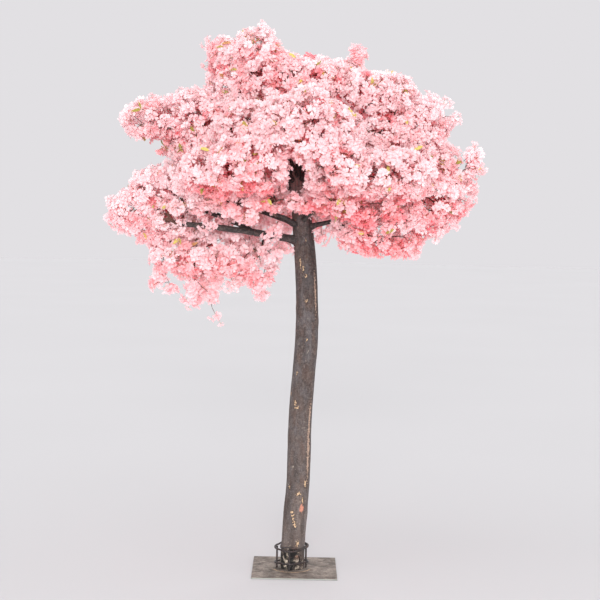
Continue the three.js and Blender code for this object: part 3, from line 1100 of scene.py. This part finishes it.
def turned(facing, spin):
    """Turns that bring +z to each facing, after a spin about it: an array of 3 by 3 matrices."""
    side = unit(np.cross(facing, np.where(np.abs(facing[:, 2:]) < STEEP, (0, 0, 1), (1, 0, 0))))
    over = np.cross(facing, side)
    x = np.cos(spin)[:, None] * side + np.sin(spin)[:, None] * over
    return np.stack([x, np.cross(facing, x), facing], 2)


def lay_flowers(kinds, places, facing, feet, large, rng):
    """Blossoms whose stalks stand on feet, as one shape, and the finish of each triangle."""
    which = rng.integers(0, len(kinds), len(places))
    size = rng.uniform(*FLOWER_SIZES, len(places)) * large
    shapes = np.stack([points for points, _, _ in kinds])[which] * size[:, None, None]
    turns = turned(facing, rng.uniform(0, TURN, len(places)))
    points = np.einsum("nij,nkj->nki", turns, shapes) + places[:, None]
    points[:, -1] = feet
    faces = np.stack([faces for _, faces, _ in kinds])[which]
    faces = faces + (np.arange(len(places)) * shapes.shape[1])[:, None, None]
    finishes = np.stack([finish for _, _, finish in kinds])[which]
    return (points.reshape(-1, 3), faces.reshape(-1, 3)), finishes


def spray(root, axis, out, length, count, rng):
    """Where the blossoms of one spray sit, which way they face and where their stalks leave the twig."""
    turn = SPRAY_TURN
    step = np.arange(count)
    along = length * (step + rng.uniform(0, 1, count)) / count
    angle = GOLDEN * step + rng.uniform(0, TURN) + rng.normal(0, turn["twist"], count)
    side, over, _ = turned(axis[None], np.zeros(1))[0].T
    round_it = np.cos(angle)[:, None] * side + np.sin(angle)[:, None] * over
    ways = unit(round_it + rng.uniform(*turn["lean"], (count, 1)) * axis + turn["out"] * out)
    ways[-1] = unit(axis + rng.normal(0, turn["tip"], 3))
    feet = root + along[:, None] * axis
    places = feet + rng.uniform(*SPRAY["stalk"], (count, 1)) * ways
    facing = unit(ways + turn["face_out"] * out + rng.normal(0, turn["face"], ways.shape))
    return places, facing, feet


# How strongly each thing moves a spray's tint towards coral. Crowding, facing down, lying deep and lying low
# in its mass are painted shade; facing up, with a weight under 0, is painted light; drift and chance are
# tone that differs at random.
TINT_RULE = {
    "crowd": 1.5, "over": -0.15, "under": 0.45, "deep": 0.6, "low": 0.6, "drift": 0.3, "chance": 0.1,
}
TINT_STEPS = [0.24, 0.56, 0.86, 1.12]
TINT_LOOK = {"ahead": 0.03, "open": 0.32, "deep": 0.06, "drift": 3.1}
STRAYS = [0.14, 0.72, 0.14]


def tints_with_painted_light_and_shade(crown, masses, sites, rng):
    """A tint for each spray: paler on top and in the open, as painted light, and coral where crowded, deep,
    low in its mass and underneath, as painted shade; some masses pinker or paler, and some drift by chance.
    """
    rule, look = TINT_RULE, TINT_LOOK
    places, owners, depths, outs = sites
    boxes = [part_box(name) for name in masses]
    feet, tops = np.array([[low.z, high.z] for low, high in boxes]).T
    heights = (places[:, 2] - feet[owners]) / (tops - feet)[owners]
    blush_and_shade = np.array([BLUSH_AND_SHADE.get(name, 0) for name in masses])[owners]
    drift = np.array([noise.noise(Vector(place * look["drift"])) for place in places])
    crowd = crown.crowd[crown.index(places + look["ahead"] * outs)]
    over, under = np.clip(outs[:, 2], 0, 1), np.clip(-outs[:, 2], 0, 1)
    # Painted shade and painted light: crowded, downward, deep and low sprays go coral, upward and open ones
    # pale
    score = rule["crowd"] * (crowd - look["open"]) + rule["over"] * over + rule["under"] * under
    score += rule["deep"] * (depths > look["deep"]) + rule["low"] * (0.5 - heights) + blush_and_shade
    score += rule["drift"] * drift + rng.normal(0, rule["chance"], len(places))
    return np.digitize(score, TINT_STEPS)


# Leaves

LEAF = {"length": 0.045, "width": 0.018, "fold": 0.35, "droop": 0.3}
LEAF_SIZES = {"length": (0.8, 1.2), "width": (0.85, 1.15), "droop": (0.3, 1.6)}
LEAVES = {"share": 0.85, "count": (1, 4), "along": 0.95, "scatter": 0.7}
LEAF_SIDE = [(0.22, 0.75), (0.5, 1.0), (0.8, 0.6)]


def leaf(rng):
    """A folded, drooping leaf along +x: points and triangles."""
    rows = [(0.0, 0.0), *LEAF_SIDE, (1.0, 0.0)]
    length, width, bend = (LEAF[part] * rng.uniform(*sizes) for part, sizes in LEAF_SIZES.items())

    def corner(along, across):
        rise = LEAF["fold"] * abs(across) * width / 2
        return (length * along, across * width / 2, rise - bend * length * along**2)

    left = [corner(u, v) for u, v in rows]
    middle = [corner(u, 0.0) for u, _ in LEAF_SIDE]
    right = [corner(u, -v) for u, v in LEAF_SIDE]
    faces = [(0, 1, 5), (0, 5, 8), (4, 7, 3), (4, 10, 7)]
    for i in range(2):
        faces += [(1 + i, 2 + i, 6 + i), (1 + i, 6 + i, 5 + i)]
        faces += [(5 + i, 6 + i, 9 + i), (5 + i, 9 + i, 8 + i)]
    return np.array(left + middle + right), np.array(faces)


def lay_leaves(crown, roots, axes, outs, materials, rng):
    """A few leaves on some of the sprays, all of one tint in each spray."""
    parts, finishes = [], []
    for root, axis, out in zip(roots, axes, outs):
        if rng.random() > LEAVES["share"]:
            continue
        tint = rng.choice(len(materials), p=LEAF_SHARES)
        for _ in range(rng.integers(*LEAVES["count"])):
            way = unit(0.5 * out + 0.5 * axis + rng.normal(0, LEAVES["scatter"], 3))
            points, faces = leaf(rng)
            turn = turned(way[None], rng.uniform(0, TURN, 1))[0]
            points = points[:, [1, 2, 0]] @ turn.T + root + LEAVES["along"] * SPRAY["length"] * axis
            if crown.holds(points.mean(0, keepdims=True))[0]:
                parts.append((points, faces))
                finishes.append(np.full(len(faces), tint))
    piece("leaves", joined(parts), materials, finish_of_face=np.concatenate(finishes))


# Making the crown: tassels end at shares of their mass's box, and tufts stand at a share of a bough

SPUR = {"first": 0.42, "gap": 0.12, "chance": 0.7, "reach": (0.02, 0.05), "flowers": (3, 7)}
SPUR_ROOT = {"share": 0.8, "lean": 0.4}
SPUR_SIDES = 5
SPRIG = [(0, 0, 0.03), (0, 0, -0.02), (0.01, -0.005, -0.07), (0.03, -0.01, -0.11)]
LINE_STEP = 0.01
TASSELS = {
    "crown_lower_left": [
        (0.06, 0.4, 0.25), (0.09, 0.3, 0.37), (0.85, 0.4, 0.15), (0.89, 0.5, 0.28), (0.97, 0.3, 0.62),
        (0.99, 0.4, 0.72), (0.31, 0.4, 0.10), (0.39, 0.5, 0.09), (0.48, 0.35, 0.11), (0.35, 0.2, 0.19),
    ],
    "crown_low_left": [(0.18, 1.3, 0.05), (0.3, 1.3, 0.05), (0.42, 1.3, 0.1), (0.68, 1.3, 0.1)],
    "crown_lower_right": [(0.84, 0.5, 0.12), (0.88, 0.5, 0.08)],
    "crown_top_right": [(0.81, 0.48, 0.85), (0.84, 0.48, 0.76), (0.78, 0.48, 0.7)],
    "crown_top_left": [(0.07, 0.5, 0.7), (0.1, 0.4, 0.6), (0.13, 0.6, 0.72), (0.08, 0.5, 0.45)],
    "crown_right": [
        (0.88, 0.5, 0.88), (0.92, 0.5, 0.78), (0.5, 0.5, 0.2), (0.6, 0.5, 0.25), (0.66, 0.5, 0.33),
    ],
    "crown_left": [(0.08, 0.5, 0.33), (0.14, 0.4, 0.25)],
}
TASSEL_FLOWERS = 12
# Each tuft: its bough, the share of the way along it, the way it points, its reach and its blossoms
TUFTS = [
    ("bough_low_left", 0.3, (0.6, -0.3, 1.0), 0.09, 12),
    ("bough_low_right", 0.3, (-0.5, -0.2, 1.0), 0.07, 12),
    ("bough_right_low", 0.5, (0.1, -0.2, -1.0), 0.055, 16),
    ("bough_left_low", 0.1, (0.0, 0.3, -1.0), 0.035, 5),
    ("bough_left_low", 0.24, (0.1, -1.0, 0.6), 0.05, 12),
    ("bough_left_low", 0.3, (0.0, -1.0, -0.3), 0.04, 8),
    ("bough_left_low", 0.78, (0.1, -1.0, 0.0), 0.02, 5),
    ("bough_left_low", 0.62, (0.1, 0.6, 1.0), 0.05, 10),
]
TUFT_LENGTH = 0.045
SPRIG_FLOWERS = 5


def tips_by_mass(limbs, masses):
    """For each mass, the tips of the boughs that end in it."""
    shapes = {name: shape_of(name) for name in masses}
    tips = {name: [] for name in masses}
    for path, radii in limbs.values():
        far = {name: shape.find_nearest(Vector(path[-1]))[3] for name, shape in shapes.items()}
        nearest = min(far, key=far.get)
        tips[nearest].append((path[-1], unit(path[-1] - path[-4]), radii[-1]))
    return tips


def twig_tubes(wood, shoots, roots, axes, lengths):
    """A tapering tube for every shoot, from the wood it grows on to the end of its spray."""
    parts = []
    for site, chain in shoots.items():
        path = np.array([wood.place[point] for point in chain])
        radii = np.array([wood.radius(point) for point in chain])
        radii[0] = radii[1]
        end = roots[site] + axes[site] * lengths[site]
        path = np.concatenate([path, [(path[-1] + end) / 2, end]])
        radii = np.concatenate([radii, [share * TWIG["radius"] for share in TWIG["ends"]]])
        kind = THICK_TWIG if radii[0] > THICK_TWIG["radius"] else TWIG
        path, radii = rounded(path, radii, kind["step"])
        parts.append(tube(path, radii, kind["sides"]))
    return joined(parts)


def lay_sprays(crown, sites, lengths, free, rng):
    """The blossoms that lie within the crown: places, facings, feet, tints and how much larger they are."""
    laid = []
    for root, axis, out, depth, tint, length, more in zip(*sites, lengths, free):
        layer = "core" if depth > SHELL[1] else "shell"
        found = spray(root, axis, out, length, FLOWERS[layer], rng)
        kept = crown.holds(found[0] - (OUTSET + more + HANG * max(0, -out[2])) * out)
        ones = np.ones(kept.sum(), int)
        laid.append([*(values[kept] for values in found), tint * ones, LARGER[layer] * ones])
    return [np.concatenate(values) for values in zip(*laid)]


def make_mass(name, crown, tips, sites, kinds, materials, rng):
    """One mass of the crown: its twigs, and its blossoms in sprays."""
    roots, axes, _, depths, _ = sites
    wood, shoots = grow(tips, roots, axes, rng)
    free = FREE["reach"] * (rng.random(len(roots)) < FREE["share"])
    lengths = np.clip(depths - SPRAY["clear"], SPRAY["least"], SPRAY["length"]) + free
    short = name.removeprefix("crown_")
    twigs = twig_tubes(wood, shoots, roots, axes, lengths)
    piece(f"twigs_{short}", twigs, [materials["twig"]], [name])
    places, facing, feet, tints, large = lay_sprays(crown, sites, lengths, free, rng)
    shape, part = lay_flowers(kinds, places, facing, feet, large, rng)
    finishes = [m for tint in TINTS for m in materials["flowers"][tint]] + [materials["stalk"]]
    tints = np.clip(tints + rng.choice([-1, 0, 1], len(tints), p=STRAYS), 0, len(TINTS) - 1)
    petals = part + len(WHORLS) * tints[:, None]
    finish = np.where(part == len(WHORLS), len(finishes) - 1, petals).ravel()
    piece(f"blossom_{short}", shape, finishes, [name], finish)


def spur_places(limbs, crown, rng):
    """Root, way and length of each spur, on the bare stretches of the boughs."""
    found = []
    for path, radii in limbs.values():
        way = way_along(path)
        for stop in np.arange(SPUR["first"] * way[-1], way[-1], SPUR["gap"]):
            near = max(1, int(np.searchsorted(way, stop)))
            if rng.random() > SPUR["chance"] or crown.holds(path[[near]])[0]:
                continue
            ahead = unit(path[near] - path[near - 1])
            out = unit(np.cross(ahead, rng.normal(0, 1, 3)))
            root = path[near] + SPUR_ROOT["share"] * radii[near] * out
            way_out = unit(out + SPUR_ROOT["lean"] * ahead)
            found.append((root, way_out, out, rng.uniform(*SPUR["reach"])))
    return found


def tassel_lines(sites):
    """A line from the nearest spray out to each place that a tassel reaches, with its count of blossoms."""
    lines = []
    for mass, shares in TASSELS.items():
        low, high = (np.array(corner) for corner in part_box(mass))
        for share in shares:
            end = low + np.array(share) * (high - low)
            root = sites[nearest_on(sites, end)]
            lines.append((np.array([root, (root + end) / 2, end]), TASSEL_FLOWERS))
    return lines


def tuft_lines(limbs):
    """A line from a bough out to each tuft, with its count of blossoms."""
    lines = []
    for bough, share, way, reach, flowers in TUFTS:
        path, _ = limbs[bough]
        root = path[round(share * (len(path) - 1))]
        steps = np.array([0, 0.5, 1.0])[:, None] * reach
        lines.append((root + steps * unit(way), flowers))
    return lines


def make_spurs(limbs, crown, sites, kinds, materials, rng):
    """Short side twigs on the boughs, one sprig below the crown, and tufts and tassels that stand out."""
    twigs, laid = [], []
    for root, axis, out, length in spur_places(limbs, crown, rng):
        line = root + np.linspace(0, 1, 4)[:, None] * length * axis
        twigs.append(even_tube(line, TWIG["radius"], SPUR_SIDES))
        laid.append(spray(root, axis, out, length, int(rng.integers(*SPUR["flowers"])), rng))
    lowest = sites[np.argmin(sites[:, 2])]
    lines = [(lowest + np.array(SPRIG), SPRIG_FLOWERS)] + tuft_lines(limbs) + tassel_lines(sites)
    for line, flowers in lines:
        line, _ = rounded(line, np.ones(len(line)), LINE_STEP)
        twigs.append(even_tube(line, TWIG["radius"], SPUR_SIDES))
        axis = unit(line[-1] - line[-2])
        laid.append(spray(line[-1] - 0.5 * TUFT_LENGTH * axis, axis, axis, TUFT_LENGTH, flowers, rng))
    piece("twigs_spurs", joined(twigs), [materials["twig"]])
    places, facing, feet = (np.concatenate(values) for values in zip(*laid))
    shape, finish = lay_flowers(kinds, places, facing, feet, 1.0, rng)
    finishes = [*materials["flowers"]["pink"], materials["stalk"]]
    piece("blossom_spurs", shape, finishes, (), finish.ravel())


def make_crown(trunk, limbs, materials):
    """Twigs and blossom in every mass, then the spurs and the leaves."""
    masses = [n for n in NODES if n.startswith("crown_")]
    rng = np.random.default_rng(SEED)
    crown = Crown(masses, trunk, limbs)
    sites = choose_sites(crown, rng)
    places, owners, depths, outs = sites
    tints = tints_with_painted_light_and_shade(crown, masses, sites, rng)
    axes = unit(outs + (rng.normal(0, SCATTER, places.shape) + (0, 0, DROOP)))
    tips = tips_by_mass(limbs, masses)
    kinds = [flower(rng) for _ in range(FLOWER_KINDS)]
    for number, name in enumerate(masses):
        own = [values[owners == number] for values in (places, axes, outs, depths, tints)]
        make_mass(name, crown, tips[name], own, kinds, materials, rng)
    make_spurs(limbs, crown, places, kinds, materials, rng)
    lay_leaves(crown, places, axes, outs, materials["leaves"], rng)


# Plate and cage

PLATE_CELLS = 56
PLATE_BEVEL = 0.0015
PLATE_DENT = {"depth": 0.0002, "pattern": (18, 30, 0.5), "reach": 0.98}
# The pale arc on the plate outside the lower ring, strongest at the front, is a painted highlight for a lit
# edge round the foot of the cage: how far out it lies, how wide, and how far back it reaches
LIT_ARC = {"clear": 0.012, "width": 0.007, "from": 0.3}
ROD = 0.0049
ROD_LAYERS = [(0.0004, 0.004, 0.01)]
UPRIGHT = {"parts": 24, "sides": 14, "seed": 5}
RING = {"parts": 28, "sides": 12, "step": 0.006}
WELD = {"reach": 0.0085, "full": 0.96, "parts": 7, "sides": 9, "sizes": (0.85, 1.15), "seed": 5}
BAND = {"steps": 48, "sides": 8, "radius": 0.0028, "clear": 0.003, "sway": 0.002, "rise": 0.006}
BAND_WAVES = {"sway": 5, "rise": 3}


def square_rings(top, outline, levels, centre):
    """The skirt and underside of a square plate: rings of points below its outline, closed by a middle."""
    points, quads = [top], []
    ring = outline
    for reach, z in levels:
        flat = top[outline][:, :2] * reach
        below = sum(len(p) for p in points) + np.arange(len(outline))
        points.append(np.column_stack([flat, np.full(len(flat), z)]))
        quads.append(np.stack([ring, below, np.roll(below, -1), np.roll(ring, -1)], 1))
        ring = below
    middle = sum(len(p) for p in points)
    under = np.stack([np.roll(ring, -1), ring, np.full(len(ring), middle)], 1)
    return np.concatenate([*points, [centre]]), np.concatenate(quads), under


def make_plate(steel):
    """The flat plate: a grid with a rounded edge, a shade uneven on top and flat underneath."""
    low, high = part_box("base_plate")
    half = (high.x - low.x) / 2
    inner = half - PLATE_BEVEL
    line = np.linspace(-inner, inner, PLATE_CELLS)
    x, y = (values.ravel() for values in np.meshgrid(line, line, indexing="ij"))
    depth, (per_x, per_y, layer) = PLATE_DENT["depth"], PLATE_DENT["pattern"]
    dents = np.array([noise.noise((per_x * a, per_y * b, layer)) for a, b in zip(x, y)])
    within = np.maximum(np.abs(x), np.abs(y)) / inner < PLATE_DENT["reach"]
    top = np.stack([x, y, high.z - depth - depth * dents * within], 1)
    rim, last = range(PLATE_CELLS), PLATE_CELLS - 1
    loop = [(i, 0) for i in rim[:-1]] + [(last, j) for j in rim[:-1]]
    loop += [(i, last) for i in rim[:0:-1]] + [(0, j) for j in rim[:0:-1]]
    outline = np.array([i * PLATE_CELLS + j for i, j in loop])
    grid = np.arange(PLATE_CELLS**2).reshape(PLATE_CELLS, PLATE_CELLS)
    cells = np.stack([grid[:-1, :-1], grid[1:, :-1], grid[1:, 1:], grid[:-1, 1:]], -1).reshape(-1, 4)
    wide = half / inner
    levels = [(wide, high.z - PLATE_BEVEL), (wide, low.z + PLATE_BEVEL), (1.0, low.z)]
    points, skirt, under = square_rings(top, outline, levels, (0.0, 0.0, low.z))
    triangles = np.concatenate([triangles_of(np.concatenate([cells, skirt])), under])
    made = piece("plate_steel", (points, triangles), [steel], ["base_plate"])
    ring_low, ring_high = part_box("cage_ring_lower")
    radius = (ring_high.x - ring_low.x) / 2
    far = np.hypot(points[:, 0] - (ring_high.x + ring_low.x) / 2, points[:, 1])
    # Painted highlight: a pale arc outside the lower ring, strongest at the front, held under the name worn
    arc = np.exp(-(((far - radius - LIT_ARC["clear"]) / LIT_ARC["width"]) ** 2))
    hold(made, "worn", arc * np.clip(LIT_ARC["from"] - points[:, 1] / radius, 0, 1))
    # Painted highlight: the bevel and skirt of the plate, held under the name rim, are made paler
    hold(made, "rim", points[:, 2] < high.z - 0.5 * PLATE_BEVEL)


def ring_run(node):
    """The middle line of a closed ring of rod, from its CAD mesh."""
    points, _ = mesh_arrays(node)
    low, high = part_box(node)
    centre = np.array((low + high) / 2)
    angle = np.arctan2(points[:, 1] - centre[1], points[:, 0] - centre[0])
    groups = np.array_split(np.argsort(angle), RING["parts"])
    return np.array([points[group].mean(0) for group in groups])


def weld(centre, rng):
    """A lumpy bead of weld: points and triangles."""
    steps = np.linspace(-1, 1, WELD["parts"])
    path = centre + steps[:, None] * unit(rng.normal(0, 1, 3)) * WELD["reach"]
    lumps = rng.uniform(*WELD["sizes"], WELD["parts"])
    radii = WELD["reach"] * np.sqrt(1 - (WELD["full"] * steps) ** 2) * lumps
    return tube(path, radii, WELD["sides"])


def make_band(steel, trunk):
    """The thin wire that is twisted round the trunk inside the upper ring."""
    path, radii = trunk
    low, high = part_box("cage_ring_upper")
    height = (low.z + high.z) / 2
    near = int(np.argmin(np.abs(path[:, 2] - height)))
    angles = np.linspace(0, TURN, BAND["steps"])
    reach = radii[near] + BAND["clear"] + BAND["sway"] * np.cos(BAND_WAVES["sway"] * angles)
    x, y = path[near][0] + reach * np.cos(angles), path[near][1] + reach * np.sin(angles)
    loop = np.column_stack([x, y, height + BAND["rise"] * np.sin(BAND_WAVES["rise"] * angles + 1)])
    piece("cage_wire", even_tube(loop, BAND["radius"], BAND["sides"]), [steel])


def make_upright(node, steel):
    """One rod of the cage, a shade uneven; gives the middle of its box."""
    low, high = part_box(node)
    middle = np.array((low + high) / 2)
    parts, sides = UPRIGHT["parts"], UPRIGHT["sides"]
    path = np.column_stack([np.tile(middle[:2], (parts, 1)), np.linspace(low.z, high.z, parts)])
    radii = np.full(parts, ROD)
    points, triangles = tube(path, radii, sides)
    points = carve(points, path, sides, wrinkles(path, radii, sides, ROD_LAYERS, UPRIGHT["seed"]))
    piece(f"{node}_rod", (points, triangles), [steel], [node])
    return middle


def make_cage(steel, trunk):
    """The uprights, the two rings, a bead of weld where they cross, and the wire inside them."""
    rng = np.random.default_rng(WELD["seed"])
    rings_of_rod = {n: ring_run(n) for n in NODES if n.startswith("cage_ring_")}
    beads = []
    for node in [n for n in NODES if n.startswith("cage_upright_")]:
        middle = make_upright(node, steel)
        for line in rings_of_rod.values():
            close = line[np.argmin(np.hypot(line[:, 0] - middle[0], line[:, 1] - middle[1]))]
            beads.append(weld((close + (*middle[:2], close[2])) / 2, rng))
    piece("cage_welds", joined(beads), [steel])
    for node, line in rings_of_rod.items():
        loop = np.concatenate([line[-2:], line, line[:3]])
        path, radii = rounded(loop, np.full(len(loop), ROD), RING["step"])
        piece(f"{node}_rod", tube(path, radii, RING["sides"]), [steel], [node])
    make_band(steel, trunk)


# Everything


def make_all():
    """The whole scene: finishes, camera, light and floor, then the stand, the wood and the crown."""
    materials = {
        "trunk": solid("trunk_bark", trunk_bark),
        "bough": solid("bough_bark", bough_bark),
        "twig": solid("twig_bark", twig_bark),
        "flowers": flower_materials(),
        "stalk": silk("stalk", STALK_TINT, STALK_TINT, SHEER["stalk"]),
        "leaves": leaf_materials(),
    }
    set_camera()
    set_light()
    set_floor()
    make_plate(solid("plate_steel", plate_steel))
    trunk, boughs = make_limbs(materials)
    make_cage(solid("rod_steel", rod_steel), trunk)
    make_crown(trunk[0], boughs, materials)


make_all()
